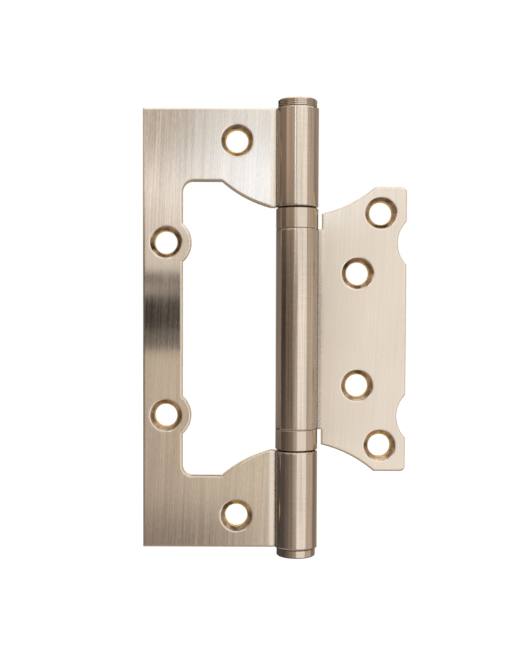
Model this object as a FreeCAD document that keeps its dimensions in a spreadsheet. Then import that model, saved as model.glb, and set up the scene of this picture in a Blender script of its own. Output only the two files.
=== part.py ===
"""Surface mount ball-bearing hinge with nesting leaves, 125 x 75 x 2.5 mm.

The pin axis is Z, with the origin on it at mid-height. The leaves lie open and flat in
the XZ plane with their countersunk faces towards -Y: the outer leaf is on the -X side
and the inner leaf on the +X side.
"""
import FreeCAD, Part
import enum
import math
import os
import re
import Sketcher
from typing import NamedTuple

# Driving sizes in millimetres and degrees: alias, value, meaning
SIZES = (
    ("outer_height", 125.0, "outer leaf height, and the barrel without its caps"),
    ("inner_height", 81.0, "inner leaf height"),
    ("inner_reach", 31.1, "pin axis to the inner leaf's far edge"),
    ("sheet", 2.5, "thickness of the leaves"),
    ("pin_dia", 7.0, "hinge pin diameter"),
    ("pin_clear", 0.04, "radial running clearance of the pin in the knuckles"),
    ("pin_chamfer", 0.4, "chamfer on the pin's ends"),
    ("outer_bend", 3.6, "outer leaf's reverse bend, radius at mid-thickness"),
    ("inner_bend", 2.9, "inner leaf's reverse bend, radius at mid-thickness"),
    ("seam_gap", 0.2, "gap between a knuckle's rolled end and its own leaf"),
    ("knuckle_inset", 11.95, "inner leaf's ends to its knuckle's ends"),
    ("bearing_height", 6.15, "distance from an outer knuckle to the inner knuckle"),
    ("nest_gap", 1.6, "gap all round between the nested leaves"),
    ("inner_corner", 1.4, "radius of the inner leaf's far corners"),
    ("slope_radius", 34.2, "radius of the window's sloping edge"),
    ("slope_offset", 1.1, "how far past the pin axis the slope's centre lies"),
    ("boss_radius", 7.2, "radius of the bosses round the outer leaf's side holes"),
    ("edge_break", 0.2, "chamfer on the front edges and the knuckles' ends"),
    ("hole_dia", 6.4, "screw hole diameter"),
    ("sink_dia", 9.0, "countersink diameter at the face"),
    ("sink_angle", 90.0, "countersink angle"),
    ("near_hole_reach", 17.2, "pin axis to the holes nearest the barrel"),
    ("end_hole_inset", 9.0, "outer leaf's ends to its end holes"),
    ("side_hole_set", 4.7, "window's side to the outer leaf's side holes"),
    ("side_hole_inset", 6.5, "outer leaf's far edge to its side holes"),
    ("side_hole_spacing", 49.4, "distance between the outer leaf's side holes"),
    ("corner_hole_inset", 7.35, "inner leaf's edges to its corner holes"),
    ("mid_hole_spacing", 32.0, "distance between the inner leaf's middle holes"),
    ("cap_step", 0.49, "how far a cap's side lies inside the barrel's"),
    ("cap_proud", 2.5, "how far a cap stands out of the barrel"),
    ("cap_chamfer", 0.3, "chamfer round a cap's face"),
    ("neck_height", 0.35, "height of the groove under a cap's rim"),
    ("neck_depth", 0.5, "depth of the groove under a cap's rim"),
    ("spigot_depth", 3.0, "how deep a cap's spigot goes into the knuckle"),
    ("spigot_clear", 0.02, "radial clearance of the spigot in the knuckle"),
    ("line_pitch", 0.5, "spacing of the turned lines round the top cap"),
    ("line_depth", 0.12, "depth and half-width of a turned line"),
    ("line_count", 3, "number of turned lines"),
    ("collar_gap", 0.4, "open gap between a collar and the outer knuckle"),
    ("collar_wall", 0.4, "wall of a bearing collar"),
    ("collar_fit", 0.02, "radial clearance between a collar and the race it sits on"),
    ("race_bore_clear", 0.08, "radial clearance of a race round the pin"),
    ("race_free_clear", 0.2, "radial clearance of the fixed race in the collar"),
    ("ball_dia", 1.5, "ball diameter, and so the height of a ball ring"),
    ("ball_clear", 0.02, "clearance of the balls from each race"),
    ("ball_ring_clear", 0.12, "radial clearance of a ball ring from the pin and the collar"),
)

# Sizes that follow from the driving ones: alias, formula
DERIVED = (
    ("half_sheet", "=sheet / 2"),
    ("pin_radius", "=pin_dia / 2"),
    ("bore_radius", "=pin_radius + pin_clear"),
    ("barrel_radius", "=bore_radius + sheet"),
    ("curl_radius", "=bore_radius + half_sheet"),
    ("outer_bend_start", "=sqrt(curl_radius ^ 2 + 2 * outer_bend * curl_radius)"),
    ("inner_bend_start", "=sqrt(curl_radius ^ 2 + 2 * inner_bend * curl_radius)"),
    ("outer_half", "=outer_height / 2"),
    ("inner_half", "=inner_height / 2"),
    ("inner_knuckle_end", "=inner_half - knuckle_inset"),
    ("inner_knuckle", "=2 * inner_knuckle_end"),
    ("outer_knuckle_end", "=inner_knuckle_end + bearing_height"),
    ("outer_knuckle", "=outer_half - outer_knuckle_end"),
    ("window_half", "=inner_half + nest_gap"),
    ("window_reach", "=inner_reach + nest_gap"),
    ("window_corner", "=inner_corner + nest_gap"),
    ("slope_run", "=outer_bend_start + slope_offset"),
    ("slope_centre", "=outer_knuckle_end + sqrt(slope_radius ^ 2 - slope_run ^ 2)"),
    ("window_rise", "=slope_centre - window_half"),
    ("window_shoulder", "=sqrt(slope_radius ^ 2 - window_rise ^ 2) - slope_offset"),
    ("ear_slope", "=slope_radius + nest_gap"),
    ("ear_run", "=inner_bend_start + slope_offset"),
    ("ear_end", "=slope_centre - sqrt(ear_slope ^ 2 - ear_run ^ 2)"),
    ("inner_rise", "=slope_centre - inner_half"),
    ("inner_shoulder", "=sqrt(ear_slope ^ 2 - inner_rise ^ 2) - slope_offset"),
    ("side_hole_reach", "=window_reach + side_hole_set"),
    ("outer_reach", "=side_hole_reach + side_hole_inset"),
    ("side_hole_height", "=side_hole_spacing / 2"),
    ("boss_half", "=sqrt(boss_radius ^ 2 - side_hole_set ^ 2)"),
    ("notch_radius", "=boss_radius + nest_gap"),
    ("notch_inset", "=side_hole_reach - inner_reach"),
    ("notch_half", "=sqrt(notch_radius ^ 2 - notch_inset ^ 2)"),
    ("end_hole_height", "=outer_half - end_hole_inset"),
    ("corner_hole_reach", "=inner_reach - corner_hole_inset"),
    ("corner_hole_height", "=inner_half - corner_hole_inset"),
    ("mid_hole_height", "=mid_hole_spacing / 2"),
    ("hole_radius", "=hole_dia / 2"),
    ("cap_radius", "=barrel_radius - cap_step"),
    ("cap_face", "=outer_half + cap_proud"),
    ("spigot_radius", "=bore_radius - spigot_clear"),
    ("spigot_end", "=outer_half - spigot_depth"),
    ("rim_foot", "=outer_half + neck_height"),
    ("line_run", "=(line_count - 1) * line_pitch"),
    ("first_line", "=(rim_foot + cap_face - cap_chamfer - line_run) / 2"),
    ("race_bore", "=pin_radius + race_bore_clear"),
    ("collar_bore", "=barrel_radius - collar_wall"),
    ("collar_end", "=outer_knuckle_end - collar_gap"),
    ("fixed_race_radius", "=collar_bore - race_free_clear"),
    ("moving_race_radius", "=collar_bore - collar_fit"),
    ("ball_ring_bore", "=pin_radius + ball_ring_clear"),
    ("ball_ring_radius", "=collar_bore - ball_ring_clear"),
    ("ball_ring_foot", "=(outer_knuckle_end + inner_knuckle_end - ball_dia) / 2"),
    ("ball_ring_top", "=ball_ring_foot + ball_dia"),
    ("fixed_race_face", "=ball_ring_top + ball_clear"),
    ("moving_race_face", "=ball_ring_foot - ball_clear"),
)

# The side of the pin that a leaf lies on
OUTER_SIDE = -1
INNER_SIDE = 1

# Which way an outline's arc turns
LEFT = 1
RIGHT = -1


class Spot(enum.IntEnum):
    """The numbers by which a sketch knows the points of its lines and arcs."""

    START = enum.auto()
    END = enum.auto()
    CENTRE = enum.auto()


class Corner(NamedTuple):
    """A corner of an outline, placed by two formulas.

    With a radius formula and a turn, LEFT or RIGHT, the edge from it to the next corner
    is an arc.
    """

    name: str
    across: str
    up: str
    radius: str = ""
    turn: int = 0


# The sketch's own origin
ORIGIN = (-1, Spot.START)

# How an edge's place is tested: points tried on it, and what counts as touching
EDGE_SAMPLES = 5
TOUCH = 1e-4

FULL_TURN = 360
UPRIGHT = FreeCAD.Placement()
UPSIDE_DOWN = FreeCAD.Placement(FreeCAD.Vector(), FreeCAD.Rotation(FreeCAD.Vector(1, 0, 0), 180))


def make_sheet(doc):
    """The table of sizes: driving ones as plain numbers, the others as formulas."""
    sheet = doc.addObject("Spreadsheet::Sheet", "Sizes")
    for row, (alias, value, meaning) in enumerate(SIZES, 1):
        sheet.set(f"A{row}", alias)
        sheet.set(f"B{row}", str(value))
        sheet.set(f"C{row}", meaning)
        sheet.setAlias(f"B{row}", alias)
    for row, (alias, formula) in enumerate(DERIVED, len(SIZES) + 1):
        sheet.set(f"A{row}", alias)
        sheet.set(f"B{row}", formula)
        sheet.setAlias(f"B{row}", alias)
    doc.recompute()


def from_sheet(formula):
    """A formula of plain aliases, with each one looked up in the table of sizes."""
    return re.sub(r"[a-z]\w+", lambda match: f"Sizes.{match.group()}", formula)


def add_body(doc, label):
    body = doc.addObject("PartDesign::Body", label.title().replace("_", ""))
    body.Label = label
    return body


def origin_feature(body, role):
    feature = next(f for f in body.Origin.OriginFeatures if f.Role == role)
    return (feature, [""])


class Drawing:
    """A sketch on one of a body's own planes, fully dimensioned from the table.

    It can be moved along the plane's normal by a formula.
    """

    def __init__(self, body, plane, name, offset=None):
        self.sketch = body.newObject("Sketcher::SketchObject", name)
        self.sketch.AttachmentSupport = origin_feature(body, plane)
        self.sketch.MapMode = "FlatFace"
        if offset:
            self.sketch.setExpression("AttachmentOffset.Base.z", from_sheet(offset))

    def value(self, formula):
        """A formula's present value, so that the sketch is drawn at its size."""
        return float(self.sketch.evalExpression(from_sheet(formula)))

    def line(self, first, last):
        segment = Part.LineSegment(FreeCAD.Vector(*first), FreeCAD.Vector(*last))
        return self.sketch.addGeometry(segment)

    def circle(self, centre, radius):
        circle = Part.Circle(FreeCAD.Vector(*centre), FreeCAD.Vector(0, 0, 1), radius)
        return self.sketch.addGeometry(circle)

    def arc(self, centre, radius, begin, finish):
        """An arc drawn counter-clockwise between two angles in radians."""
        circle = Part.Circle(FreeCAD.Vector(*centre), FreeCAD.Vector(0, 0, 1), radius)
        return self.sketch.addGeometry(Part.ArcOfCircle(circle, begin, finish))

    def tie(self, kind, *where):
        self.sketch.addConstraint(Sketcher.Constraint(kind, *where))

    def size(self, name, formula, kind, *where):
        """A dimension bound to the table."""
        constraint = Sketcher.Constraint(kind, *where, self.value(formula))
        index = self.sketch.addConstraint(constraint)
        self.sketch.renameConstraint(index, name)
        self.sketch.setExpression(f"Constraints.{name}", from_sheet(formula))

    def place(self, name, across, up, *where):
        """Fix a point by its two distances from the origin."""
        self.size(f"{name}_across", across, "DistanceX", *ORIGIN, *where)
        self.size(f"{name}_up", up, "DistanceY", *ORIGIN, *where)

    def bent_edge(self, first, last, radius, turn):
        """The shorter arc from one point to another, turning left or right."""
        span = math.dist(first, last)
        rise = turn * math.sqrt(radius ** 2 - (span / 2) ** 2) / span
        across = (first[0] + last[0]) / 2 - rise * (last[1] - first[1])
        up = (first[1] + last[1]) / 2 + rise * (last[0] - first[0])
        ends = (first, last) if turn == LEFT else (last, first)
        angles = [math.atan2(point[1] - up, point[0] - across) for point in ends]
        edge = self.arc((across, up, 0), radius, *angles)
        return (edge, Spot.START, Spot.END) if turn == LEFT else (edge, Spot.END, Spot.START)

    def outline(self, *corners):
        """Draw a closed outline through its corners."""
        spots = [(self.value(corner.across), self.value(corner.up), 0) for corner in corners]
        edges = []
        for corner, first, last in zip(corners, spots, spots[1:] + spots[:1]):
            if corner.radius:
                edges.append(self.bent_edge(first, last, self.value(corner.radius), corner.turn))
            else:
                edges.append((self.line(first, last), Spot.START, Spot.END))
        following = edges[1:] + edges[:1]
        for corner, (edge, begin, finish), (next_edge, next_begin, _) in zip(corners, edges, following):
            self.tie("Coincident", edge, finish, next_edge, next_begin)
            self.place(corner.name, corner.across, corner.up, edge, begin)
            if corner.radius:
                self.size(f"{corner.name}_radius", corner.radius, "Radius", edge)

    def done(self):
        """The sketch itself, which has to be fully dimensioned by now."""
        self.sketch.Document.recompute()
        if self.sketch.solve() != 0 or not self.sketch.FullyConstrained:
            raise RuntimeError(f"{self.sketch.Name} isn't fully dimensioned")
        return self.sketch


def with_lower_half(*corners):
    """The corners of an outline's upper half, followed by their mirror images below."""
    arcs = [(corner.radius, corner.turn) for corner in corners[-2::-1]] + [("", 0)]
    lower = [
        Corner(f"{corner.name}_below", corner.across, f"-{corner.up}", *arc)
        for corner, arc in zip(corners[::-1], arcs)
    ]
    return [*corners, *lower]


def check_volume(feature, before, grows):
    """A feature has to add material, or to take some away."""
    if (feature.Shape.Volume > before) != grows:
        raise RuntimeError(f"{feature.Name} changes the volume the wrong way")
    return feature


def pad(body, name, sketch, length, side="One side"):
    feature = body.newObject("PartDesign::Pad", name)
    feature.Profile = sketch
    feature.SideType = side
    feature.setExpression("Length", from_sheet(length))
    body.Document.recompute()
    return feature


def cut_through(body, name, sketch):
    """Cut a profile right through the body, both ways."""
    before = body.Shape.Volume
    feature = body.newObject("PartDesign::Pocket", name)
    feature.Profile = sketch
    feature.Type = "ThroughAll"
    feature.SideType = "Symmetric"
    body.Document.recompute()
    return check_volume(feature, before, grows=False)


def revolve(body, name, sketch):
    """Turn a profile about the pin axis."""
    feature = body.newObject("PartDesign::Revolution", name)
    feature.Profile = sketch
    feature.ReferenceAxis = origin_feature(body, "Z_Axis")
    feature.Angle = FULL_TURN
    body.Document.recompute()
    return feature


def break_edges(body, name, wanted):
    """Chamfer the edges whose points all pass a test."""
    base = body.Tip
    names = []
    for number, edge in enumerate(base.Shape.Edges, 1):
        inner_points = edge.discretize(EDGE_SAMPLES)[1:-1]
        if all(wanted(point) for point in inner_points):
            names.append(f"Edge{number}")
    feature = body.newObject("PartDesign::Chamfer", name)
    feature.Base = (base, names)
    feature.setExpression("Size", from_sheet("edge_break"))
    body.Document.recompute()
    return check_volume(feature, base.Shape.Volume, grows=False)


def near(value, target):
    return abs(value - target) < TOUCH


def on_knuckle_end(point, sizes, height):
    """Whether a point is on the outer edge of a knuckle's end."""
    return near(abs(point.z), height) and near(math.hypot(point.x, point.y), sizes.barrel_radius)


def knuckle_section(body, name, side, bend, offset=None):
    """Section of a rolled knuckle: a reverse bend towards the back, then the curl round the pin.

    The curl ends at the front, a seam's width short of its own leaf.
    """
    drawing = Drawing(body, "XY_Plane", name, offset)
    half = drawing.value("half_sheet")
    bore = drawing.value("bore_radius")
    barrel = drawing.value("barrel_radius")
    start = drawing.value(f"{bend}_start")
    bend_radius = drawing.value(bend)
    reach = drawing.value("curl_radius") + bend_radius
    shoulder = drawing.value(f"{bend} + half_sheet + seam_gap")

    lean = math.atan2(bend_radius, start)
    opening = math.acos((reach ** 2 + barrel ** 2 - shoulder ** 2) / (2 * reach * barrel))
    drop = opening - lean
    if side == OUTER_SIDE:
        bend_angles = (-math.pi / 2, -lean)
        curl_angles = (drop - math.pi, math.pi - lean)
        tip_angle = curl_angles[0]
        leaf_end, curl_end = Spot.START, Spot.END
    else:
        bend_angles = (math.pi + lean, 3 * math.pi / 2)
        curl_angles = (lean, 2 * math.pi - drop)
        tip_angle = curl_angles[1]
        leaf_end, curl_end = Spot.END, Spot.START
    bend_centre = (side * start, bend_radius, 0)
    tips = [(r * math.cos(tip_angle), r * math.sin(tip_angle), 0) for r in (barrel, bore)]

    back = drawing.arc(bend_centre, bend_radius - half, *bend_angles)
    outside = drawing.arc((0, 0, 0), barrel, *curl_angles)
    end_face = drawing.line(*tips)
    inside = drawing.arc((0, 0, 0), bore, *curl_angles)
    front = drawing.arc(bend_centre, bend_radius + half, *bend_angles)
    leaf_face = drawing.line((side * start, -half, 0), (side * start, half, 0))

    drawing.tie("Tangent", back, curl_end, outside, curl_end)
    drawing.tie("Tangent", front, curl_end, inside, curl_end)
    drawing.tie("Coincident", outside, Spot.CENTRE, *ORIGIN)
    drawing.tie("Coincident", inside, Spot.CENTRE, *ORIGIN)
    drawing.tie("Coincident", back, Spot.CENTRE, front, Spot.CENTRE)
    drawing.tie("Coincident", outside, leaf_end, end_face, Spot.START)
    drawing.tie("Coincident", end_face, Spot.END, inside, leaf_end)
    drawing.tie("Coincident", front, leaf_end, leaf_face, Spot.START)
    drawing.tie("Coincident", leaf_face, Spot.END, back, leaf_end)
    drawing.tie("Vertical", leaf_face)
    drawing.tie("Vertical", back, Spot.CENTRE, back, leaf_end)
    drawing.tie("PointOnObject", *ORIGIN, end_face)
    drawing.size("bend_height", bend, "DistanceY", *ORIGIN, back, Spot.CENTRE)
    drawing.size("bend_radius", f"{bend} - half_sheet", "Radius", back)
    drawing.size("barrel", "barrel_radius", "Radius", outside)
    drawing.size("bore", "bore_radius", "Radius", inside)
    drawing.size("seam", f"{bend} + half_sheet + seam_gap", "Distance", back, Spot.CENTRE, outside, leaf_end)
    return drawing.done()


def screw_holes(body, name, *centres):
    """Countersunk holes from the leaf's front face, each a name, across and up."""
    drawing = Drawing(body, "XZ_Plane", f"{name}Places", "half_sheet")
    radius = drawing.value("hole_radius")
    circles = []
    for label, across, up in centres:
        circle = drawing.circle((drawing.value(across), drawing.value(up), 0), radius)
        drawing.place(label, across, up, circle, Spot.CENTRE)
        circles.append(circle)
    drawing.size("hole", "hole_radius", "Radius", circles[0])
    for circle in circles[1:]:
        drawing.tie("Equal", circles[0], circle)
    sketch = drawing.done()

    before = body.Shape.Volume
    hole = body.newObject("PartDesign::Hole", name)
    hole.Profile = sketch
    body.Document.recompute()
    hole.DepthType = "ThroughAll"
    hole.HoleCutType = "Countersink"
    hole.HoleCutCustomValues = True
    hole.setExpression("Diameter", from_sheet("hole_dia"))
    hole.setExpression("HoleCutDiameter", from_sheet("sink_dia"))
    hole.setExpression("HoleCutCountersinkAngle", from_sheet("sink_angle"))
    body.Document.recompute()
    return check_volume(hole, before, grows=False)


def outer_leaf(doc):
    """The big leaf: a window with two bosses, four holes, and a knuckle at each end."""
    body = add_body(doc, "outer_leaf")
    blank = Drawing(body, "XZ_Plane", "OuterBlank")
    blank.outline(*with_lower_half(
        Corner("bend", "-outer_bend_start", "outer_half"),
        Corner("far", "-outer_reach", "outer_half"),
    ))
    pad(body, "OuterPlate", blank.done(), "sheet", side="Symmetric")

    window = Drawing(body, "XZ_Plane", "WindowOutline")
    window.outline(*with_lower_half(
        Corner("mouth", "0", "outer_knuckle_end"),
        Corner("bend", "-outer_bend_start", "outer_knuckle_end", "slope_radius", RIGHT),
        Corner("shoulder", "-window_shoulder", "window_half"),
        Corner("top", "window_corner - window_reach", "window_half", "window_corner", LEFT),
        Corner("side", "-window_reach", "(window_half - window_corner)"),
        Corner("boss_top", "-window_reach", "(side_hole_height + boss_half)", "boss_radius", RIGHT),
        Corner("boss_foot", "-window_reach", "(side_hole_height - boss_half)"),
    ))
    cut_through(body, "Window", window.done())

    section = knuckle_section(body, "OuterSection", OUTER_SIDE, "outer_bend", "outer_knuckle_end")
    knuckle = pad(body, "TopKnuckle", section, "outer_knuckle")
    lower = body.newObject("PartDesign::Mirrored", "BottomKnuckle")
    lower.Originals = [knuckle]
    lower.MirrorPlane = origin_feature(body, "XY_Plane")
    body.Tip = lower
    doc.recompute()
    check_volume(lower, knuckle.Shape.Volume, grows=True)

    sizes = doc.Sizes

    def in_front(point):
        on_leaf = point.x < -sizes.outer_bend_start - TOUCH
        return near(point.y, -sizes.half_sheet) and on_leaf and not near(abs(point.z), sizes.outer_half)

    break_edges(body, "OuterEdges", in_front)
    break_edges(body, "OuterKnuckleEnds", lambda point: on_knuckle_end(point, sizes, sizes.outer_knuckle_end))
    screw_holes(
        body, "OuterHoles",
        ("upper_end", "-near_hole_reach", "end_hole_height"),
        ("lower_end", "-near_hole_reach", "-end_hole_height"),
        ("upper_side", "-side_hole_reach", "side_hole_height"),
        ("lower_side", "-side_hole_reach", "-side_hole_height"),
    )
    return body


def inner_leaf(doc):
    """The small leaf: an ear beside each bearing, two notches, four holes, and the middle knuckle."""
    body = add_body(doc, "inner_leaf")
    blank = Drawing(body, "XZ_Plane", "InnerBlank")
    blank.outline(*with_lower_half(
        Corner("ear", "inner_bend_start", "ear_end", "ear_slope", LEFT),
        Corner("shoulder", "inner_shoulder", "inner_half"),
        Corner("top", "inner_reach - inner_corner", "inner_half", "inner_corner", RIGHT),
        Corner("side", "inner_reach", "(inner_half - inner_corner)"),
        Corner("notch_top", "inner_reach", "(side_hole_height + notch_half)", "notch_radius", LEFT),
        Corner("notch_foot", "inner_reach", "(side_hole_height - notch_half)"),
    ))
    pad(body, "InnerPlate", blank.done(), "sheet", side="Symmetric")
    section = knuckle_section(body, "InnerSection", INNER_SIDE, "inner_bend")
    pad(body, "MiddleKnuckle", section, "inner_knuckle", side="Symmetric")

    sizes = doc.Sizes

    def in_front(point):
        return near(point.y, -sizes.half_sheet) and point.x > sizes.inner_bend_start + TOUCH

    break_edges(body, "InnerEdges", in_front)
    break_edges(body, "InnerKnuckleEnds", lambda point: on_knuckle_end(point, sizes, sizes.inner_knuckle_end))
    screw_holes(
        body, "InnerHoles",
        ("upper_corner", "corner_hole_reach", "corner_hole_height"),
        ("lower_corner", "corner_hole_reach", "-corner_hole_height"),
        ("upper_mid", "near_hole_reach", "mid_hole_height"),
        ("lower_mid", "near_hole_reach", "-mid_hole_height"),
    )
    return body


def hinge_pin(doc):
    """The pin, from one cap's spigot to the other's."""
    body = add_body(doc, "hinge_pin")
    profile = Drawing(body, "XZ_Plane", "PinProfile")
    profile.outline(*with_lower_half(
        Corner("axis", "0", "spigot_end"),
        Corner("face", "pin_radius - pin_chamfer", "spigot_end"),
        Corner("side", "pin_radius", "(spigot_end - pin_chamfer)"),
    ))
    revolve(body, "Pin", profile.done())
    return body


def end_cap(doc, label, placement, lined):
    """A turned cap whose spigot closes a knuckle's bore, with a groove under its rim.

    The top one has fine turned lines.
    """
    body = add_body(doc, label)
    profile = Drawing(body, "XZ_Plane", f"{body.Name}Profile")
    profile.outline(
        Corner("axis_foot", "0", "spigot_end"),
        Corner("spigot_foot", "spigot_radius", "spigot_end"),
        Corner("spigot_top", "spigot_radius", "outer_half"),
        Corner("neck_foot", "cap_radius - neck_depth", "outer_half"),
        Corner("neck_top", "cap_radius - neck_depth", "rim_foot"),
        Corner("rim", "cap_radius", "rim_foot"),
        Corner("side", "cap_radius", "cap_face - cap_chamfer"),
        Corner("face", "cap_radius - cap_chamfer", "cap_face"),
        Corner("axis_top", "0", "cap_face"),
    )
    turned = revolve(body, f"{body.Name}Turned", profile.done())
    if lined:
        notch = Drawing(body, "XZ_Plane", "LineProfile")
        notch.outline(
            Corner("foot", "cap_radius", "first_line - line_depth"),
            Corner("top", "cap_radius", "first_line + line_depth"),
            Corner("bottom", "cap_radius - line_depth", "first_line"),
        )
        line = body.newObject("PartDesign::Groove", "TurnedLine")
        line.Profile = notch.done()
        line.ReferenceAxis = origin_feature(body, "Z_Axis")
        line.Angle = FULL_TURN
        doc.recompute()
        check_volume(line, turned.Shape.Volume, grows=False)
        lines = body.newObject("PartDesign::LinearPattern", "TurnedLines")
        lines.Originals = [line]
        lines.Direction = origin_feature(body, "Z_Axis")
        lines.setExpression("Length", from_sheet("line_run"))
        lines.setExpression("Occurrences", from_sheet("line_count"))
        body.Tip = lines
        doc.recompute()
        check_volume(lines, line.Shape.Volume, grows=False)
    body.Placement = placement
    return body


def collar(doc, label, placement):
    """A bearing's outer ring, flush with the barrel, seated on the inner knuckle's end."""
    body = add_body(doc, label)
    profile = Drawing(body, "XZ_Plane", f"{body.Name}Profile")
    profile.outline(
        Corner("bore_foot", "collar_bore", "inner_knuckle_end"),
        Corner("seat", "barrel_radius - edge_break", "inner_knuckle_end"),
        Corner("side_foot", "barrel_radius", "inner_knuckle_end + edge_break"),
        Corner("side_top", "barrel_radius", "collar_end - edge_break"),
        Corner("face", "barrel_radius - edge_break", "collar_end"),
        Corner("bore_top", "collar_bore", "collar_end"),
    )
    revolve(body, f"{body.Name}Ring", profile.done())
    body.Placement = placement
    return body


def flat_ring(doc, label, placement, bore, radius, foot, top):
    """A plain ring round the pin, between two heights."""
    body = add_body(doc, label)
    profile = Drawing(body, "XZ_Plane", f"{body.Name}Profile")
    profile.outline(
        Corner("bore_foot", bore, foot),
        Corner("side_foot", radius, foot),
        Corner("side_top", radius, top),
        Corner("bore_top", bore, top),
    )
    revolve(body, f"{body.Name}Ring", profile.done())
    body.Placement = placement
    return body


def bearing(doc, end, placement):
    """One thrust bearing, closed by its collar.

    The fixed race lies on the outer knuckle and the moving race on the inner one. The
    ball ring between them is the cage with its balls, as one plain ring.
    """
    fixed = ("race_bore", "fixed_race_radius", "fixed_race_face", "outer_knuckle_end")
    moving = ("race_bore", "moving_race_radius", "inner_knuckle_end", "moving_race_face")
    rolling = ("ball_ring_bore", "ball_ring_radius", "ball_ring_foot", "ball_ring_top")
    return [
        collar(doc, f"{end}_collar", placement),
        flat_ring(doc, f"{end}_fixed_race", placement, *fixed),
        flat_ring(doc, f"{end}_moving_race", placement, *moving),
        flat_ring(doc, f"{end}_ball_ring", placement, *rolling),
    ]


def build(doc):
    make_sheet(doc)
    return [
        outer_leaf(doc),
        inner_leaf(doc),
        hinge_pin(doc),
        end_cap(doc, "top_cap", UPRIGHT, lined=True),
        end_cap(doc, "bottom_cap", UPSIDE_DOWN, lined=False),
        *bearing(doc, "upper", UPRIGHT),
        *bearing(doc, "lower", UPSIDE_DOWN),
    ]


def check(doc, bodies):
    """Stop before anything is written if an object failed or a shape isn't sound."""
    for thing in doc.Objects:
        if {"Invalid", "Error"} & set(thing.State):
            raise RuntimeError(f"{thing.Label} failed: {thing.State}")
    for body in bodies:
        if body.Shape.isNull() or not body.Shape.isValid():
            raise RuntimeError(f"{body.Label} has no sound shape")


def main():
    doc = FreeCAD.newDocument("SurfaceMountHinge")
    bodies = build(doc)
    doc.recompute()
    check(doc, bodies)
    os.makedirs("parts", exist_ok=True)
    for body in bodies:
        body.Shape.exportStep(os.path.join("parts", f"{body.Label}.step"))
        box = body.Shape.BoundBox
        spans = ((box.XMin, box.XMax), (box.YMin, box.YMax), (box.ZMin, box.ZMax))
        reach = ", ".join(f"{low:.2f} to {high:.2f}" for low, high in spans)
        print(f"{body.Label}: {body.Shape.Volume:.2f} cubic mm, spans {reach}")


main()
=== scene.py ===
"""Looks of a surface mount hinge in satin nickel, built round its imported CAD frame.

The leaves, pin, caps, collars and races are the frame's own solids and get their finishes
here. The ball ring of each thrust bearing is replaced by a pierced cage and its balls.
"""

import logging
import math
from dataclasses import dataclass
from enum import Enum

import bmesh
import bpy
from mathutils import Matrix, Vector


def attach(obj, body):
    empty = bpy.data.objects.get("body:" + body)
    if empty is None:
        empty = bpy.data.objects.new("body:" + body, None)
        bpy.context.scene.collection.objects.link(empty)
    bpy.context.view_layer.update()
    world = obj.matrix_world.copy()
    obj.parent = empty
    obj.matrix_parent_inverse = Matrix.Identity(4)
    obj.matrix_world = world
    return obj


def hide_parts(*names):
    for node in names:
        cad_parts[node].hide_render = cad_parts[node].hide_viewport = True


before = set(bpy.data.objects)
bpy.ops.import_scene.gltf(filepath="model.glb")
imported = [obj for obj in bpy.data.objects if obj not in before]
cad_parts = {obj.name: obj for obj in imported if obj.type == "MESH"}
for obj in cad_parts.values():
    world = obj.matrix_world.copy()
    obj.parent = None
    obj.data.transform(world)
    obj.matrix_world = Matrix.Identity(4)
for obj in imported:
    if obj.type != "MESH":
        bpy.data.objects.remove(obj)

LOG = logging.getLogger("hinge")
MM = 0.001
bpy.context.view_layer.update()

Triple = tuple[float, float, float]
Colour = Triple
Range = tuple[float, float]
Socket = bpy.types.NodeSocket

SHADING_SAMPLES = 8
# Painted shade in gaps and inner corners: the ambient occlusion range, and the darkest colour
# factor.
SEAM_RANGE: Range = (0.22, 0.78)
SEAM_SHADE = 0.2
SCRATCH_DEPTH = 0.01 * MM
BEARING_HEIGHT = 31.625 * MM

# Along the pin, tilted a little so that no face of a leaf has it as its normal.
BRUSHING: Triple = (0.0, 0.1, 1.0)
BRUSH_SLANT_DEGREES = -2.2


class End(Enum):
    """The hinge's two ends, each with its own thrust bearing."""

    UPPER = "upper"
    LOWER = "lower"


@dataclass(frozen=True)
class Pattern:
    """A stretched noise: features a metre along x, y and z, share in a sum, and octaves."""

    scale: Triple
    share: float = 1.0
    detail: float = 2.0


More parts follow.
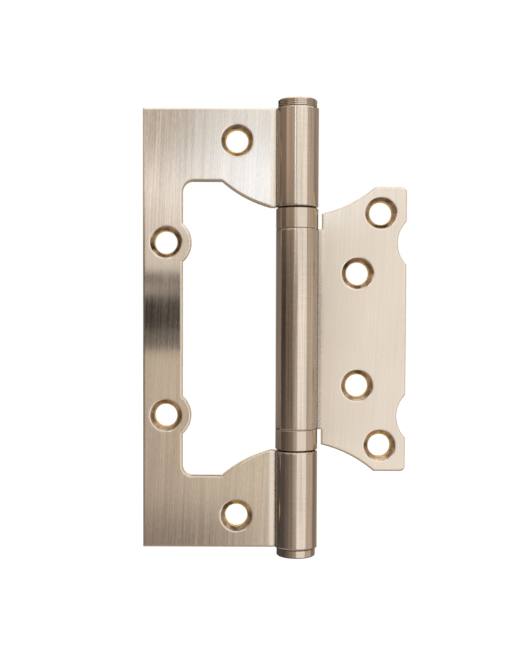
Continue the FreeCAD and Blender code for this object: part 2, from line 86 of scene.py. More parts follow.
@dataclass
class Graph:
    """Short calls for making the nodes of one material or world."""

    tree: bpy.types.NodeTree

    def node(self, kind: str, **settings: object) -> bpy.types.Node:
        """Adds a node.

        Args:
            kind: the node's type name.
            settings: properties to set on it.

        Returns:
            The new node.
        """
        made = self.tree.nodes.new(kind)
        for name, value in settings.items():
            setattr(made, name, value)
        return made

    def put(self, target: Socket, value: object) -> None:
        """Links a socket to an input, or sets the input's own value.

        Args:
            target: the input.
            value: a socket, a number, or a tuple of numbers.
        """
        if isinstance(value, bpy.types.NodeSocket):
            self.tree.links.new(value, target)
        else:
            target.default_value = value

    def math(self, operation: str, *values: object) -> Socket:
        """Adds a Math node.

        Args:
            operation: the node's operation.
            values: one to three inputs, sockets or numbers.

        Returns:
            The result.
        """
        made = self.node("ShaderNodeMath", operation=operation)
        for target, value in zip(made.inputs, values):
            self.put(target, value)
        return made.outputs[0]

    def vector(self, operation: str, *values: object) -> Socket:
        """Adds a Vector Math node.

        Args:
            operation: the node's operation.
            values: its inputs, sockets or tuples.

        Returns:
            The vector result, or the number for an operation that gives one.
        """
        made = self.node("ShaderNodeVectorMath", operation=operation)
        for target, value in zip(made.inputs, values):
            self.put(target, value)
        single = operation in ("LENGTH", "DISTANCE", "DOT_PRODUCT")
        return made.outputs["Value" if single else "Vector"]

    def scaled(self, colour: object, factor: object) -> Socket:
        """Makes a colour lighter or darker.

        Args:
            colour: a colour or socket.
            factor: what it is multiplied by.

        Returns:
            The scaled colour.
        """
        made = self.node("ShaderNodeVectorMath", operation="SCALE")
        self.put(made.inputs[0], colour)
        self.put(made.inputs["Scale"], factor)
        return made.outputs["Vector"]

    def combine(self, x: object, y: object, z: object) -> Socket:
        """Joins three numbers into a vector.

        Args:
            x: first part.
            y: second part.
            z: third part.

        Returns:
            The vector.
        """
        made = self.node("ShaderNodeCombineXYZ")
        for target, value in zip(made.inputs, (x, y, z)):
            self.put(target, value)
        return made.outputs[0]

    def split(self, vector: Socket) -> tuple[Socket, Socket, Socket]:
        """Splits a vector.

        Args:
            vector: the vector.

        Returns:
            Its three parts.
        """
        made = self.node("ShaderNodeSeparateXYZ")
        self.put(made.inputs[0], vector)
        return tuple(made.outputs)

    def blend(self, factor: object, first: object, second: object) -> Socket:
        """Mixes two colours.

        Args:
            factor: 0 gives the first colour, 1 the second.
            first: a colour or socket.
            second: a colour or socket.

        Returns:
            The mixed colour.
        """
        made = self.node("ShaderNodeMix", data_type="RGBA")
        self.put(made.inputs["Factor"], factor)
        for target, value in zip((made.inputs[6], made.inputs[7]), (first, second)):
            self.put(target, (*value, 1.0) if isinstance(value, tuple) else value)
        return made.outputs[2]

    def turn(self, factor: object, first: Socket, second: Socket) -> Socket:
        """Mixes two vectors.

        Args:
            factor: 0 gives the first vector, 1 the second.
            first: a vector.
            second: a vector.

        Returns:
            The mixed vector.
        """
        made = self.node("ShaderNodeMix", data_type="VECTOR")
        self.put(made.inputs["Factor"], factor)
        self.put(made.inputs[4], first)
        self.put(made.inputs[5], second)
        return made.outputs[1]

    def mix(self, factor: object, first: bpy.types.Node, second: bpy.types.Node) -> bpy.types.Node:
        """Mixes two shaders.

        Args:
            factor: 0 gives the first shader, 1 the second.
            first: a shader.
            second: a shader.

        Returns:
            The mixing node.
        """
        made = self.node("ShaderNodeMixShader")
        self.put(made.inputs[0], factor)
        self.put(made.inputs[1], first.outputs[0])
        self.put(made.inputs[2], second.outputs[0])
        return made

    def step(self, value: object, low: float, high: float) -> Socket:
        """Rises smoothly from 0 at low to 1 at high, or falls where low is above high.

        Args:
            value: the number.
            low: where the result is 0.
            high: where the result is 1.

        Returns:
            A number from 0 to 1.
        """
        made = self.node("ShaderNodeMapRange", interpolation_type="SMOOTHSTEP")
        ends = (high, low, 1.0, 0.0) if low > high else (low, high, 0.0, 1.0)
        for target, number in zip(made.inputs, (value, *ends)):
            self.put(target, number)
        return made.outputs[0]

    def noise(self, place: Socket, pattern: Pattern) -> Socket:
        """Adds a noise that is stretched by its scale.

        Args:
            place: the coordinates, in metres.
            pattern: the noise's scale and detail.

        Returns:
            The noise, about 0.5 on average.
        """
        made = self.node("ShaderNodeTexNoise")
        self.put(made.inputs["Vector"], self.vector("MULTIPLY", place, pattern.scale))
        made.inputs["Scale"].default_value = 1.0
        made.inputs["Detail"].default_value = pattern.detail
        return made.outputs["Fac"]

    def layers(self, *noises: tuple[Socket, Pattern]) -> Socket:
        """Adds noises up, each times its share.

        Args:
            noises: coordinates and pattern of each noise.

        Returns:
            The sum, about 0.5 on average where the shares add up to 1.
        """
        total: object = 0.0
        for place, pattern in noises:
            total = self.math("MULTIPLY_ADD", self.noise(place, pattern), pattern.share, total)
        return total

    def vary(self, noise: Socket, amount: object, middle: object) -> Socket:
        """Turns a noise into a number that varies about a middle.

        Args:
            noise: the noise, about 0.5 on average.
            amount: the change in the number as the noise goes from 0 to 1.
            middle: the number's average.

        Returns:
            The number.
        """
        return self.math("MULTIPLY_ADD", self.math("SUBTRACT", noise, 0.5), amount, middle)

    def painted_seam_shade(self, reach: float) -> Socket:
        """Paints shade into narrow gaps and inner corners, found by ambient occlusion.

        Args:
            reach: how far off another face may be, in metres.

        Returns:
            1 in the open, falling towards SEAM_SHADE deep in a gap.
        """
        made = self.node("ShaderNodeAmbientOcclusion", samples=SHADING_SAMPLES)
        made.inputs["Distance"].default_value = reach
        clear = self.step(made.outputs["AO"], *SEAM_RANGE)
        return self.math("MULTIPLY_ADD", clear, 1.0 - SEAM_SHADE, SEAM_SHADE)

    def across_turning(self, place: Socket, facing: Socket) -> Socket:
        """Gives the direction on a face that crosses the marks turned round the pin.

        Args:
            place: the object coordinates.
            facing: the piece's own normal.

        Returns:
            The direction, in the piece's own space.
        """
        x, y = self.split(place)[:2]
        around = self.combine(self.math("MULTIPLY", y, -1.0), x, 0.0)
        return self.vector("CROSS_PRODUCT", facing, around)

    def placed(self, direction: Socket) -> Socket:
        """Turns a direction from the piece's own space with the piece.

        Args:
            direction: the direction in the piece's own space.

        Returns:
            The direction in the scene.
        """
        made = self.node(
            "ShaderNodeVectorTransform",
            vector_type="VECTOR", convert_from="OBJECT", convert_to="WORLD",
        )
        self.put(made.inputs[0], direction)
        return made.outputs[0]

    def rays(self) -> tuple[Socket, Socket]:
        """Tells the camera's own rays, and those that metal or glass sends on.

        Returns:
            1 for a ray from the camera, and 1 for a mirrored or refracted ray.
        """
        path = self.node("ShaderNodeLightPath").outputs
        mirrored = self.math("MAXIMUM", path["Is Glossy Ray"], path["Is Transmission Ray"])
        return path["Is Camera Ray"], mirrored

    def bump(self, height: Socket, strength: object) -> bpy.types.Node:
        """Adds the relief of fine scratches.

        Args:
            height: the marks.
            strength: how strongly they show.

        Returns:
            The bump node.
        """
        made = self.node("ShaderNodeBump")
        self.put(made.inputs["Strength"], strength)
        made.inputs["Distance"].default_value = SCRATCH_DEPTH
        self.put(made.inputs["Height"], height)
        return made


def new_graph(owner: bpy.types.Material | bpy.types.World) -> Graph:
    """Gives a material or world an empty node tree.

    Args:
        owner: the material or world.

    Returns:
        The graph of its tree.
    """
    owner.use_nodes = True
    owner.node_tree.nodes.clear()
    return Graph(owner.node_tree)


def new_material(name: str) -> tuple[bpy.types.Material, Graph, bpy.types.Node]:
    """Makes a material with one Principled shader.

    Args:
        name: the material's name.

    Returns:
        The material, its graph and the shader.
    """
    material = bpy.data.materials.new(name)
    graph = new_graph(material)
    shader = graph.node("ShaderNodeBsdfPrincipled")
    output = graph.node("ShaderNodeOutputMaterial")
    graph.put(output.inputs["Surface"], shader.outputs[0])
    return material, graph, shader


BRUSH_MARKS = (
    Pattern((2700.0, 400.0, 42.0), share=0.42),
    Pattern((1250.0, 300.0, 10.0), share=0.20),
    Pattern((5000.0, 900.0, 700.0), share=0.38),
)
POLISH_MARKS = (
    Pattern((2100.0, 2100.0, 30.0), share=0.78),
    Pattern((300.0, 300.0, 2600.0), share=0.22, detail=3.0),
)
CLOUDS = Pattern((75.0, 75.0, 50.0))
SINK_TEETH = Pattern((1100.0, 1.0, 1100.0), share=0.2)
SINK_PATCHES = Pattern((250.0, 1.0, 250.0), share=0.62, detail=1.0)
SINK_RINGS = Pattern((5200.0, 1.0, 1.0), share=0.18, detail=1.0)
BURR = Pattern((500.0, 500.0, 500.0), detail=1.0)
TURNING_MARKS = Pattern((4200.0, 1.0, 4200.0), share=0.65, detail=3.0)
HANDLING_MARKS = Pattern((220.0, 220.0, 160.0), share=0.35, detail=3.0)


@dataclass(frozen=True)
class Zones:
    """Where each part of a leaf's finish lies: 1 there and 0 elsewhere."""

    barrel: Socket
    bent: Socket
    rim: Socket
    sunk: Socket
    edge: Socket
    cut: Socket
    bore: Socket


@dataclass(frozen=True)
class SheetNickel:
    """Satin nickel on a leaf: brushed upright on its plate, polished on its rolled knuckle, with
    painted shade in its gaps and painted highlights on its rims and bend.
    """

    name: str
    sinks: tuple[tuple[float, float], ...]
    plate_colour: Colour = (0.77, 0.705, 0.63)
    knuckle_colour: Colour = (0.77, 0.705, 0.63)
    sink_colour: Colour = (0.50, 0.40, 0.32)
    rim_painted_highlight: Colour = (0.97, 0.91, 0.83)
    bend_painted_highlight: Colour = (1.0, 0.95, 0.88)
    brass: Colour = (0.95, 0.70, 0.20)
    edge_colour: Colour = (0.96, 0.87, 0.70)
    cut_colour: Colour = (0.86, 0.78, 0.62)

    barrel_radius: float = 6.2 * MM
    barrel_fade: float = 0.1 * MM
    bend_radius: float = 7.2 * MM
    bend_fade: float = 0.8 * MM
    sink_radius: float = 4.55 * MM
    sink_fade: float = 0.05 * MM
    hole_radius: float = 3.28 * MM
    burr_inset: float = 0.12 * MM
    burr_spread: float = 0.5 * MM
    burr_fade: float = 0.04 * MM
    edge_radius: float = 0.9 * MM
    seam_reach: float = 1.3 * MM
    nook_side: Range = (2.0 * MM, 4.0 * MM)
    nook_outside: Range = (3.3 * MM, 2.4 * MM)
    nook_inside: Range = (0.7 * MM, 1.9 * MM)
    sloping: Range = (0.93, 0.85)
    cut_facing: Range = (0.35, 0.2)
    rounding: Range = (0.999, 0.98)

    grain: float = 1.0
    knuckle_grain: float = 0.9
    cloudiness: float = 0.12
    chatter_contrast: float = 6.0
    chatter_floor: float = 0.2
    rim_highlight_share: float = 0.7
    bend_light: float = 0.92
    nook_shade: float = 0.62
    bore_dullness: float = 0.65
    scratches: float = 0.1
    knuckle_scratches: float = 0.3

    rough: float = 0.095
    rough_marks: float = 0.12
    rough_knuckle: float = 0.04
    rough_bend: float = 0.18
    rough_sink: float = 0.14
    rough_edge: float = 0.35
    rough_cut: float = 0.4
    anisotropic: float = 0.94

    def build(self) -> bpy.types.Material:
        """Makes the material."""
        material, g, shader = new_material(self.name)
        own = g.node("ShaderNodeTexCoord").outputs
        place, facing = own["Object"], own["Normal"]
        # The bevel rounds the edges' normals, and also marks the rims that get a painted
        # highlight.
        edge_bevel = g.node("ShaderNodeBevel", samples=SHADING_SAMPLES)
        edge_bevel.inputs["Radius"].default_value = self.edge_radius
        rounded = edge_bevel.outputs[0]
        near = self.nearest_hole(g, place)
        zones = self.zones(g, place, facing, rounded, near)
        marks = self.tool_marks(g, place, zones.barrel)
        g.put(shader.inputs["Base Color"], self.colour(g, place, near, marks, zones))
        metallic = g.math("MULTIPLY_ADD", zones.bore, -self.bore_dullness, 1.0)
        g.put(shader.inputs["Metallic"], metallic)
        g.put(shader.inputs["Roughness"], self.roughness(g, marks, zones))
        shader.inputs["Anisotropic"].default_value = self.anisotropic
        across = g.vector("CROSS_PRODUCT", facing, BRUSHING)
        along = g.across_turning(place, facing)
        g.put(shader.inputs["Tangent"], g.placed(g.turn(zones.barrel, across, along)))
        strength = g.math("MULTIPLY_ADD", zones.barrel, self.knuckle_scratches, self.scratches)
        relief = g.bump(marks, strength)
        g.put(relief.inputs["Normal"], rounded)
        g.put(shader.inputs["Normal"], relief.outputs[0])
        return material

    def nearest_hole(self, g: Graph, place: Socket) -> Socket:
        """Measures how far a place is from the axis of the nearest hole.

        Each pair in sinks, in millimetres across and along the leaf, stands for two holes,
        as far above the middle as below it.

        Args:
            g: the material's graph.
            place: the object coordinates.

        Returns:
            The distance in metres.
        """
        x, _, z = g.split(place)
        half = g.combine(x, 0.0, g.math("ABSOLUTE", z))
        near = None
        for across, along in self.sinks:
            away = g.vector("DISTANCE", half, (across * MM, 0.0, along * MM))
            near = away if near is None else g.math("MINIMUM", near, away)
        return near

    def zones(
        self, g: Graph, place: Socket, facing: Socket, rounded: Socket, near: Socket,
    ) -> Zones:
        """Finds the parts of the leaf by their place and by the way they face.

        Args:
            g: the material's graph.
            place: the object coordinates.
            facing: the piece's own normal.
            rounded: the scene's normal, with the stamped edges rounded.
            near: distance from the nearest hole's axis.

        Returns:
            The zones.
        """
        x, y = g.split(place)[:2]
        level = g.math("ABSOLUTE", g.split(facing)[1])
        off_axis = g.vector("LENGTH", g.combine(x, y, 0.0))
        barrel = g.step(off_axis, self.barrel_radius + self.barrel_fade, self.barrel_radius)
        plate = g.math("SUBTRACT", 1.0, barrel)
        root = g.step(off_axis, self.bend_radius + self.bend_fade, self.bend_radius)
        bent = g.math("MULTIPLY", plate, root)
        sloping = g.math("MULTIPLY", plate, g.step(level, *self.sloping))
        in_sink = g.step(near, self.sink_radius + self.sink_fade, self.sink_radius)
        sunk = g.math("MULTIPLY", sloping, in_sink)
        unsunk = g.math("SUBTRACT", sloping, sunk)
        straight = g.node("ShaderNodeNewGeometry").outputs["Normal"]
        agreement = g.vector("DOT_PRODUCT", rounded, straight)
        return Zones(
            barrel=barrel,
            bent=bent,
            rim=g.math("MULTIPLY", plate, g.step(agreement, *self.rounding)),
            sunk=sunk,
            edge=g.math("MULTIPLY", g.math("SUBTRACT", 1.0, bent), unsunk),
            cut=g.math("MULTIPLY", plate, g.step(level, *self.cut_facing)),
            bore=self.bore(g, place, near),
        )

    def colour(
        self, g: Graph, place: Socket, near: Socket, marks: Socket, zones: Zones,
    ) -> Socket:
        """Lays the finish's colours over each other, with painted highlights on the rims and the
        bend, and paints shade into gaps, inner corners and the knuckle beside the root.

        Args:
            g: the material's graph.
            place: the object coordinates.
            near: distance from the nearest hole's axis.
            marks: the tool marks.
            zones: the parts of the leaf.

        Returns:
            The colour.
        """
        base = g.blend(zones.barrel, self.plate_colour, self.knuckle_colour)
        colour = g.scaled(base, self.tone(g, place, marks, zones.barrel))
        coats = (
            # The rim coat is a painted highlight along the rounded stamped edges.
            (g.math("MULTIPLY", zones.rim, self.rim_highlight_share), self.rim_painted_highlight),
            # The bend coat is a painted highlight on the leaf's root.
            (zones.bent, self.bend_painted_highlight),
            (zones.sunk, g.scaled(self.sink_colour, self.chatter(g, place, near))),
            (zones.edge, self.edge_colour),
            (zones.cut, self.cut_colour),
            (zones.bore, self.brass),
        )
        for zone, coat in coats:
            colour = g.blend(zone, colour, coat)
        # On the bend the painted shade is lifted, as part of its painted highlight.
        lit_bend = g.math("MULTIPLY", zones.bent, self.bend_light)
        shade = g.math("MAXIMUM", g.painted_seam_shade(self.seam_reach), lit_bend)
        return g.scaled(colour, g.math("MULTIPLY", shade, self.nook_painted_shade(g, place, zones.barrel)))

    def roughness(self, g: Graph, marks: Socket, zones: Zones) -> Socket:
        """Varies the roughness with the marks, and adds each zone's own.

        Args:
            g: the material's graph.
            marks: the tool marks.
            zones: the parts of the leaf.

        Returns:
            The roughness.
        """
        rough = g.vary(marks, self.rough_marks, self.rough)
        duller = (
            (zones.barrel, self.rough_knuckle),
            (zones.bent, self.rough_bend),
            (zones.sunk, self.rough_sink),
            (zones.edge, self.rough_edge),
            (zones.cut, self.rough_cut),
        )
        for zone, more in duller:
            rough = g.math("MULTIPLY_ADD", zone, more, rough)
        return rough

    def nook_painted_shade(self, g: Graph, place: Socket, barrel: Socket) -> Socket:
        """Paints shade on the knuckle close to the leaf's root, where the two meet.

        Args:
            g: the material's graph.
            place: the object coordinates.
            barrel: 1 on the knuckle.

        Returns:
            1 in the open, lower where the shade is painted.
        """
        x, y = g.split(place)[:2]
        side = math.copysign(1.0, self.sinks[0][0])
        towards = g.step(g.math("MULTIPLY", x, side), *self.nook_side)
        off_plate = g.math("ABSOLUTE", y)
        outside = g.step(off_plate, *self.nook_outside)
        strip = g.math("MULTIPLY", outside, g.step(off_plate, *self.nook_inside))
        inside = g.math("MULTIPLY", barrel, g.math("MULTIPLY", towards, strip))
        return g.math("MULTIPLY_ADD", inside, -self.nook_shade, 1.0)

    def tool_marks(self, g: Graph, place: Socket, barrel: Socket) -> Socket:
        """Makes the brush marks of the plate and the polish marks of the knuckle.

        Args:
            g: the material's graph.
            place: the object coordinates.
            barrel: 1 on the knuckle.

        Returns:
            The marks, about 0.5 on average.
        """
        slant = g.node("ShaderNodeMapping")
        slant.inputs["Rotation"].default_value = (
            0.0, math.radians(BRUSH_SLANT_DEGREES), 0.0,
        )
        g.put(slant.inputs["Vector"], place)
        brushed = g.layers(*((slant.outputs[0], pattern) for pattern in BRUSH_MARKS))
        polished = g.layers(*((place, pattern) for pattern in POLISH_MARKS))
        return g.math("MULTIPLY_ADD", barrel, g.math("SUBTRACT", polished, brushed), brushed)

    def tone(self, g: Graph, place: Socket, marks: Socket, barrel: Socket) -> Socket:
        """Varies the finish's lightness with the marks and with faint clouds.

        Args:
            g: the material's graph.
            place: the object coordinates.
            marks: the tool marks.
            barrel: 1 on the knuckle.

        Returns:
            A number about 1.
        """
        contrast = g.math("MULTIPLY_ADD", barrel, self.knuckle_grain - self.grain, self.grain)
        return g.vary(g.noise(place, CLOUDS), self.cloudiness, g.vary(marks, contrast, 1.0))

    def chatter(self, g: Graph, place: Socket, near: Socket) -> Socket:
        """Makes the countersinks' uneven tool marks: broad patches, chatter and fine rings.

        Args:
            g: the material's graph.
            place: the object coordinates.
            near: distance from the nearest hole's axis.

        Returns:
            A lightness about 1.
        """
        x, _, z = g.split(place)
        flat = g.combine(x, 0.0, z)
        outwards = g.combine(near, 0.0, 0.0)
        marks = g.layers((flat, SINK_TEETH), (flat, SINK_PATCHES), (outwards, SINK_RINGS))
        return g.math("MAXIMUM", g.vary(marks, self.chatter_contrast, 1.0), self.chatter_floor)

    def bore(self, g: Graph, place: Socket, near: Socket) -> Socket:
        """Masks the holes' bare bores and the patchy burr round their mouths.

        Args:
            g: the material's graph.
            place: the object coordinates.
            near: distance from the nearest hole's axis.

        Returns:
            The mask.
        """
        patches = g.noise(place, BURR)
        mouth = self.hole_radius - self.burr_inset
        reach = g.math("MULTIPLY_ADD", patches, self.burr_spread, mouth)
        return g.step(g.math("SUBTRACT", near, reach), self.burr_fade, 0.0)


@dataclass(frozen=True)
class TurnedMetal:
    """A turned finish, with its tool marks round the pin's axis and painted shade in its gaps."""

    name: str
    base: Colour
    rough: float
    contrast: float = 0.25
    rough_marks: float = 0.2
    scratches: float = 0.1
    anisotropic: float = 0.88
    seam_reach: float = 0.8 * MM

    def build(self) -> bpy.types.Material:
        """Makes the material."""
        material, g, shader = new_material(self.name)
        own = g.node("ShaderNodeTexCoord").outputs
        place, facing = own["Object"], own["Normal"]
        x, y, z = g.split(place)
        off_axis = g.vector("LENGTH", g.combine(x, y, 0.0))
        rings = g.combine(off_axis, 0.0, z)
        marks = g.layers((rings, TURNING_MARKS), (place, HANDLING_MARKS))
        # The tone holds the tool marks and painted shade in gaps and inner corners.
        tone = g.math("MULTIPLY", g.vary(marks, self.contrast, 1.0), g.painted_seam_shade(self.seam_reach))
        g.put(shader.inputs["Base Color"], g.scaled(self.base, tone))
        shader.inputs["Metallic"].default_value = 1.0
        g.put(shader.inputs["Roughness"], g.vary(marks, self.rough_marks, self.rough))
        shader.inputs["Anisotropic"].default_value = self.anisotropic
        g.put(shader.inputs["Tangent"], g.placed(g.across_turning(place, facing)))
        relief = g.bump(g.noise(rings, TURNING_MARKS), self.scratches)
        g.put(shader.inputs["Normal"], relief.outputs[0])
        return material


def dress(node: str, material: bpy.types.Material) -> None:
    """Puts a material in every slot of a CAD node.

    Args:
        node: the node's name.
        material: its finish.
    """
    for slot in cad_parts[node].material_slots:
        slot.material = material
    LOG.info("%s dressed in %s", node, material.name)


def settle(name: str, mesh: bmesh.types.BMesh, material: bpy.types.Material) -> bpy.types.Object:
    """Turns a bmesh into an object at the origin.

    Args:
        name: the piece's name.
        mesh: its shape, in metres; it is freed.
        material: its finish.

    Returns:
        The new object.
    """
    bmesh.ops.recalc_face_normals(mesh, faces=mesh.faces)
    data = bpy.data.meshes.new(name)
    mesh.to_mesh(data)
    mesh.free()
    data.materials.append(material)
    piece = bpy.data.objects.new(name, data)
    bpy.context.scene.collection.objects.link(piece)
    LOG.info("%s: %d faces", name, len(data.polygons))
    return piece


@dataclass
class Leaves:
    """The two leaves, each a plate and its knuckles in one sheet."""

    outer_sinks: tuple[tuple[float, float], ...] = ((-17.2, 53.5), (-37.4, 24.7))
    inner_sinks: tuple[tuple[float, float], ...] = ((23.75, 33.15), (17.2, 16.0))
    # The inner plate's lighter copy of the nickel is painted light: it stands in for a brighter
    # reflection.
    inner_plate_painted_light: Colour = (0.82, 0.77, 0.70)

    def build(self) -> None:
        """Dresses both leaves."""
        dress("outer_leaf", SheetNickel("outer_leaf_nickel", self.outer_sinks).build())
        inner = SheetNickel(
            "inner_leaf_nickel", self.inner_sinks, plate_colour=self.inner_plate_painted_light, grain=0.42,
        )
        dress("inner_leaf", inner.build())


@dataclass
class Barrel:
    """The pin, its caps and the bearings' collars."""

    nickel: Colour = (0.74, 0.67, 0.59)
    steel: Colour = (0.60, 0.60, 0.59)

    def build(self) -> None:
        """Dresses the barrel's turned pieces."""
        turned = TurnedMetal("turned_nickel", self.nickel, 0.15).build()
        for node in ("top_cap", "bottom_cap", "upper_collar", "lower_collar"):
            dress(node, turned)
        dress("hinge_pin", TurnedMetal("ground_steel", self.steel, 0.22).build())


@dataclass
class ThrustBearing:
    """One thrust bearing: two races, and a cage of balls between them."""

    end: End
    height: float
    balls: int = 12
    ball_radius: float = 0.75 * MM
    ball_sides: int = 20
    ball_rows: int = 12
    track: float = 4.57 * MM
    cage_inner: float = 3.66 * MM
    cage_outer: float = 5.48 * MM
    cage_sheet: float = 0.5 * MM
    pocket: float = 0.80 * MM
    pocket_sides: int = 24
    weld: float = 0.001 * MM

    def build(
        self, race: bpy.types.Material, ball: bpy.types.Material, cage: bpy.types.Material,
    ) -> None:
        """Dresses the races, and makes the cage and balls.

        Args:
            race: finish of the races, near black as painted shade in the bearing gaps.
            ball: finish of the balls.
            cage: finish of the cage.
        """
        dress(f"{self.end.value}_fixed_race", race)
        dress(f"{self.end.value}_moving_race", race)
        for piece in (self.cage(cage), self.ball_ring(ball)):
            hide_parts(f"{self.end.value}_ball_ring")
            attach(piece, f"{self.end.value}_rolling")

    def cage(self, material: bpy.types.Material) -> bpy.types.Object:
        """Makes the pierced ring that keeps the balls apart.

        Args:
            material: its finish.

        Returns:
            The cage.
        """
        mesh = bmesh.new()
        self.cage_sector(mesh)
        bmesh.ops.spin(
            mesh,
            geom=mesh.verts[:] + mesh.edges[:] + mesh.faces[:],
            cent=(0.0, 0.0, 0.0),
            axis=(0.0, 0.0, 1.0),
            angle=math.tau * (self.balls - 1) / self.balls,
            steps=self.balls - 1,
            use_duplicate=True,
        )
        bmesh.ops.remove_doubles(mesh, verts=mesh.verts, dist=self.weld)
        bmesh.ops.recalc_face_normals(mesh, faces=mesh.faces)
        bmesh.ops.solidify(mesh, geom=mesh.faces[:], thickness=self.cage_sheet)
        low = min(vert.co.z for vert in mesh.verts)
        high = max(vert.co.z for vert in mesh.verts)
        lift = self.height - (low + high) / 2
        bmesh.ops.translate(mesh, verts=mesh.verts, vec=(0.0, 0.0, lift))
        return settle(f"{self.end.value}_cage", mesh, material)

    def cage_sector(self, mesh: bmesh.types.BMesh) -> None:
        """Makes the flat stretch of cage round one ball, its pocket a round hole.

        Args:
            mesh: the empty mesh to make it in.
        """
        bmesh.ops.create_circle(mesh, segments=self.pocket_sides, radius=self.pocket)
        made = bmesh.ops.extrude_edge_only(mesh, edges=list(mesh.edges))
        middle = (self.cage_outer + self.cage_inner) / 2
        half_width = (self.cage_outer - self.cage_inner) / 2
        half_turn = math.pi / self.balls
        for vert in (item for item in made["geom"] if isinstance(item, bmesh.types.BMVert)):
            way = vert.co.normalized()
            square = way / max(abs(way.x), abs(way.y))
            radius = middle + square.x * half_width
            angle = square.y * half_turn
            vert.co.x = radius * math.cos(angle) - self.track
            vert.co.y = radius * math.sin(angle)
        bmesh.ops.translate(mesh, verts=mesh.verts, vec=(self.track, 0.0, 0.0))

    def ball_ring(self, material: bpy.types.Material) -> bpy.types.Object:
        """Makes the ring of balls.

        Args:
            material: their finish.

        Returns:
            The balls, in one object.
        """
        mesh = bmesh.new()
        for number in range(self.balls):
            angle = math.tau * number / self.balls
            x, y = self.track * math.cos(angle), self.track * math.sin(angle)
            bmesh.ops.create_uvsphere(
                mesh,
                u_segments=self.ball_sides,
                v_segments=self.ball_rows,
                radius=self.ball_radius,
                matrix=Matrix.Translation((x, y, self.height)),
            )
        for face in mesh.faces:
            face.smooth = True
        return settle(f"{self.end.value}_balls", mesh, material)


@dataclass(frozen=True)
class Panel:
    """A soft-edged part of the studio's surroundings, in degrees from the front."""

    colour: Colour
    left: float
    right: float
    low: float = -90.0
    high: float = 90.0
    edge: float = 6.0
    rise: float = 4.0

    def mask(self, g: Graph, azimuth: Socket, height: Socket) -> Socket:
        """Gives the panel's share of a direction.

        Args:
            g: the world's graph.
            azimuth: degrees to the right of the front.
            height: degrees above the horizon.

        Returns:
            1 inside the panel and 0 outside it.
        """
        parts = (
            g.step(azimuth, self.left - self.edge / 2, self.left + self.edge / 2),
            g.step(azimuth, self.right + self.edge / 2, self.right - self.edge / 2),
            g.step(height, self.low - self.rise / 2, self.low + self.rise / 2),
            g.step(height, self.high + self.rise / 2, self.high - self.rise / 2),
        )
        mask = parts[0]
        for part in parts[1:]:
            mask = g.math("MULTIPLY", mask, part)
        return mask


ROOM: Colour = (0.36, 0.28, 0.225)
PANELS = (
    Panel((0.27, 0.20, 0.16), -180.0, -58.0, low=6.0),
    Panel((0.04, 0.03, 0.023), -180.0, -108.0, low=6.0, edge=16.0),
    Panel((0.27, 0.215, 0.185), -180.0, -98.0, low=-7.0, high=6.0),
    Panel((0.032, 0.024, 0.02), -98.0, -40.0, low=-7.0, high=6.0, edge=12.0),
    Panel((0.04, 0.03, 0.027), -180.0, -40.0, high=-7.0, edge=12.0),
    Panel((0.12, 0.083, 0.06), -66.0, -20.0, high=6.0, edge=14.0),
    Panel((0.235, 0.18, 0.135), -44.0, -16.0, high=-6.0, edge=18.0),
    Panel((0.58, 0.46, 0.355), -64.0, -42.0, low=6.0),
    Panel((0.51, 0.40, 0.31), -46.0, 2.0, low=6.0),
    Panel((0.58, 0.49, 0.405), -21.0, 2.0, low=6.0, edge=8.0),
    Panel((0.44, 0.355, 0.285), -9.8, -4.8, low=7.0, edge=2.4),
    Panel((2.0, 1.98, 1.9), -14.0, -10.4, low=7.0, edge=1.4, rise=2.0),
    Panel((0.50, 0.40, 0.31), -18.0, 6.0, high=6.0, edge=18.0),
    Panel((0.96, 0.89, 0.81), -9.0, 2.0, low=-1.0, high=9.0, edge=3.0, rise=4.0),
    Panel((0.70, 0.61, 0.50), -9.0, 6.0, high=0.5, edge=4.0, rise=0.5),
    Panel((0.42, 0.34, 0.275), -3.4, 2.8, low=-7.0, high=5.5, edge=1.6, rise=1.0),
    Panel((0.47, 0.39, 0.315), -16.0, -4.8, high=-6.5, edge=3.0),
    Panel((0.27, 0.215, 0.175), -16.0, -1.6, high=-11.0, edge=3.0, rise=3.5),
    Panel((0.15, 0.135, 0.12), -17.0, -2.8, low=-1.72, high=2.8, edge=1.6, rise=0.2),
    Panel((0.60, 0.545, 0.485), -17.0, -6.1, low=1.45, high=2.15, edge=1.0, rise=0.15),
    Panel((0.02, 0.019, 0.018), -17.0, -2.8, low=-0.55, high=1.38, edge=1.6, rise=0.2),
    Panel((0.99, 0.92, 0.845), 2.6, 54.0, edge=1.2),
    Panel((0.56, 0.46, 0.375), 56.0, 98.0, edge=4.0),
    Panel((0.45, 0.365, 0.30), 70.0, 98.0, low=6.0, edge=10.0),
    Panel((0.23, 0.175, 0.135), 102.0, 135.0, high=6.0, edge=10.0),
    Panel((1.29, 1.42, 1.58), -3.4, 2.8, low=6.0, high=11.5, edge=4.4, rise=3.0),
    Panel((1.05, 1.09, 1.12), -3.4, 2.8, low=10.0, edge=4.4, rise=3.0),
    Panel((0.58, 0.49, 0.39), -180.0, 180.0, low=48.0, rise=20.0),
    Panel((0.36, 0.28, 0.22), -180.0, 180.0, high=-30.0, rise=20.0),
)


@dataclass(frozen=True)
class Lamp:
    """A soft square lamp that points at the hinge."""

    name: str
    place: Triple
    size: float
    power: float
    colour: Colour

    def build(self) -> None:
        """Hangs the lamp."""
        data = bpy.data.lights.new(self.name, "AREA")
        data.shape = "SQUARE"
        data.size = self.size
        data.energy = self.power
        data.color = self.colour
        lamp = bpy.data.objects.new(self.name, data)
        aim = (-Vector(self.place)).to_track_quat("-Z", "Y").to_matrix().to_4x4()
        lamp.matrix_world = Matrix.Translation(self.place) @ aim
        bpy.context.scene.collection.objects.link(lamp)


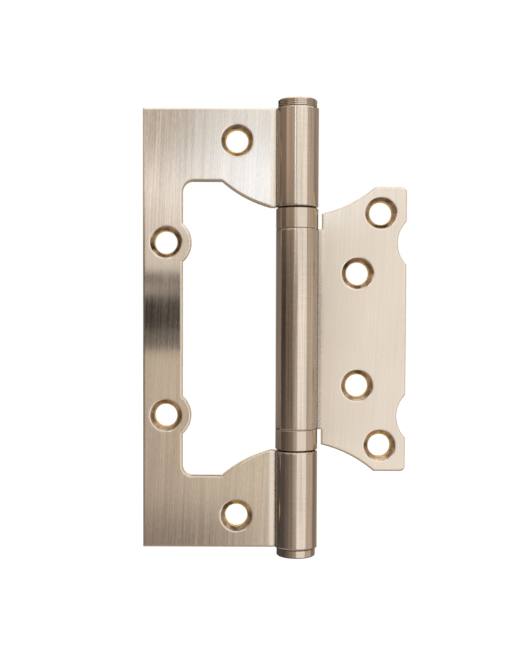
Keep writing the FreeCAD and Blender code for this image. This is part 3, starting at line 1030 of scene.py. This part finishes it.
LAMPS = (
    Lamp("top", (0.25, -0.1, 1.0), size=1.5, power=4.0, colour=(1.0, 0.98, 0.95)),
    Lamp("back", (-0.3, 0.7, 0.9), size=1.2, power=2.0, colour=(1.0, 0.97, 0.93)),
)


@dataclass
class Studio:
    """The pale floor, the surroundings, the soft light and the camera."""

    floor_height: float = -65.0 * MM
    floor_radius: float = 1.6
    floor_sides: int = 96
    white: float = 1.0
    paper: float = 0.9
    glow_share: float = 0.92
    paper_share: float = 0.2
    mirrored_share: float = 0.04
    behind: Range = (0.965, 0.99)
    lens: float = 54.75
    sensor: float = 36.0
    clip_start: float = 0.01
    clip_end: float = 20.0
    camera_place: Triple = (-9.06 * MM, -281.2 * MM, 2.49 * MM)
    camera_pitch: float = -2.0
    camera_roll: float = 0.2
    camera_shift: float = 0.0502

    def build(self) -> None:
        """Makes all of it."""
        self.camera()
        self.world()
        self.floor()
        for lamp in LAMPS:
            lamp.build()
        bpy.context.scene.view_settings.view_transform = "Standard"

    def camera(self) -> None:
        """Puts the camera where the picture was taken from."""
        data = bpy.data.cameras.new("camera")
        data.lens = self.lens
        data.sensor_width = self.sensor
        data.shift_y = self.camera_shift
        data.clip_start = self.clip_start
        data.clip_end = self.clip_end
        camera = bpy.data.objects.new("camera", data)
        level = 90.0
        turn = Matrix.Rotation(math.radians(level + self.camera_pitch), 4, "X")
        roll = Matrix.Rotation(math.radians(self.camera_roll), 4, "Z")
        camera.matrix_world = Matrix.Translation(self.camera_place) @ turn @ roll
        bpy.context.scene.collection.objects.link(camera)
        bpy.context.scene.camera = camera

    def grey(self, g: Graph, kind: str, tone: float) -> bpy.types.Node:
        """Adds a plain shader.

        Args:
            g: the graph.
            kind: the shader's type name.
            tone: its grey, where 1 is white.

        Returns:
            The shader.
        """
        made = g.node(kind)
        made.inputs["Color"].default_value = (tone, tone, tone, 1.0)
        return made

    def floor(self) -> None:
        """Makes the floor: pale to the camera, nearly clear in a mirror, and paper otherwise."""
        material = bpy.data.materials.new("floor_paper")
        g = new_graph(material)
        lit = self.grey(g, "ShaderNodeBsdfDiffuse", self.paper)
        pale = g.node("ShaderNodeAddShader")
        g.put(pale.inputs[0], self.grey(g, "ShaderNodeEmission", self.glow_share).outputs[0])
        g.put(pale.inputs[1], self.grey(g, "ShaderNodeBsdfDiffuse", self.paper_share).outputs[0])
        clear = g.node("ShaderNodeBsdfTransparent")
        glow = self.grey(g, "ShaderNodeEmission", self.white)
        seen, mirrored = g.rays()
        through = g.mix(self.mirrored_share, clear, glow)
        shown = g.mix(mirrored, g.mix(seen, lit, pale), through)
        g.put(g.node("ShaderNodeOutputMaterial").inputs["Surface"], shown.outputs[0])
        mesh = bmesh.new()
        bmesh.ops.create_circle(
            mesh, cap_ends=True, segments=self.floor_sides, radius=self.floor_radius,
        )
        bmesh.ops.translate(mesh, verts=mesh.verts, vec=(0.0, 0.0, self.floor_height))
        floor = settle("floor", mesh, material)

    def world(self) -> None:
        """Makes the surroundings: white to the camera, and in a mirror a brown room with panels.

        What a mirror shows straight behind the hinge is white too.
        """
        world = bpy.data.worlds.new("surroundings")
        bpy.context.scene.world = world
        g = new_graph(world)
        x, y, z = g.split(g.node("ShaderNodeTexCoord").outputs["Generated"])
        bearing = g.math("ARCTAN2", x, g.math("MULTIPLY", y, -1.0))
        azimuth = g.math("MULTIPLY", bearing, math.degrees(1.0))
        height = g.math("MULTIPLY", g.math("ARCSINE", z), math.degrees(1.0))
        colour: object = ROOM
        for panel in PANELS:
            colour = g.blend(panel.mask(g, azimuth, height), colour, panel.colour)
        room = g.node("ShaderNodeBackground")
        g.put(room.inputs["Color"], colour)
        white = self.grey(g, "ShaderNodeBackground", self.white)
        seen, mirrored = g.rays()
        behind = g.math("MULTIPLY", mirrored, g.step(y, *self.behind))
        sky = g.mix(g.math("MAXIMUM", seen, behind), room, white)
        g.put(g.node("ShaderNodeOutputWorld").inputs["Surface"], sky.outputs[0])


def main() -> None:
    """Builds every sub-assembly in order."""
    logging.basicConfig(level=logging.INFO, format="%(message)s")
    Studio().build()
    Leaves().build()
    Barrel().build()
    # The races' near-black colour is painted shade: it darkens the gaps beside the bearings.
    race = TurnedMetal("race_steel_painted_shade", (0.07, 0.06, 0.05), 0.4).build()
    ball = TurnedMetal("ball_steel", (0.70, 0.70, 0.70), 0.08).build()
    cage = TurnedMetal("cage_steel", (0.58, 0.55, 0.50), 0.3).build()
    for end, height in ((End.UPPER, BEARING_HEIGHT), (End.LOWER, -BEARING_HEIGHT)):
        ThrustBearing(end, height).build(race, ball, cage)


if __name__ == "__main__":
    main()
